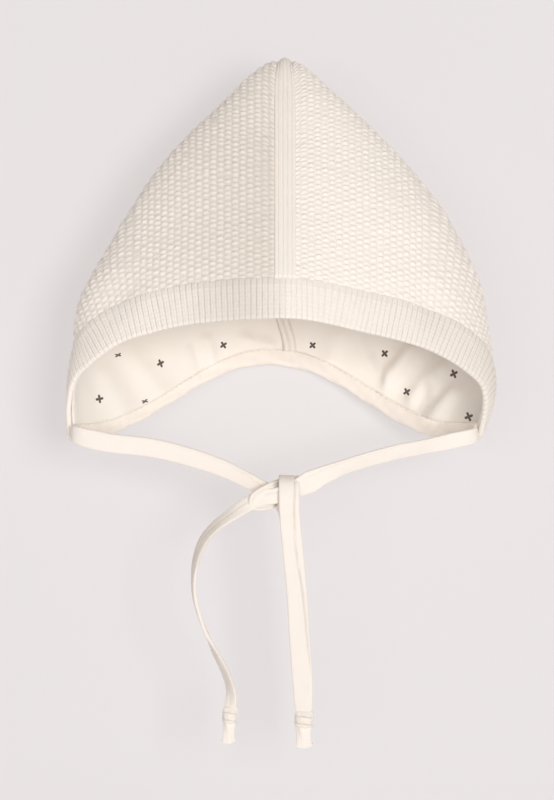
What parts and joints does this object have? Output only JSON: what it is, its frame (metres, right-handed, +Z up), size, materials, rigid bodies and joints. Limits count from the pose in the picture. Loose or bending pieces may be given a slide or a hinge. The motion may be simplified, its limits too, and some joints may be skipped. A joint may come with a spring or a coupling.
{
  "type": "baby bonnet",
  "caption": "Pointed knitted baby bonnet in moss stitch with a ribbed ridge strip and face band, jersey lining, and a neck binding that runs on as chin ties.",
  "frame": {"origin": "where the crown of the head sits inside the hollow, midway between the front and back of the hood", "axes": "+Z up towards the point of the hood, -Y towards the face opening, +X across the face"},
  "size_m": [0.193, 0.1028, 0.3093],
  "materials": {
    "moss_knit": "matt cotton moss stitch",
    "rib_knit": "matt cotton rib",
    "lining_jersey": "matt fine jersey with small dark crosses",
    "binding_jersey": "matt fine jersey"
  },
  "bodies": {
    "root": {"panel_left": "moss_knit", "panel_right": "moss_knit", "lining_left": "lining_jersey", "lining_right": "lining_jersey", "front_band": "rib_knit", "crown_strip": "rib_knit", "neck_binding": "binding_jersey", "tie_left": "binding_jersey", "tie_right": "binding_jersey", "tail_straight": "binding_jersey", "tail_curved": "binding_jersey", "chin_knot": "binding_jersey", "end_knot_straight": "binding_jersey", "end_knot_curved": "binding_jersey"}
  },
  "joints": []
}
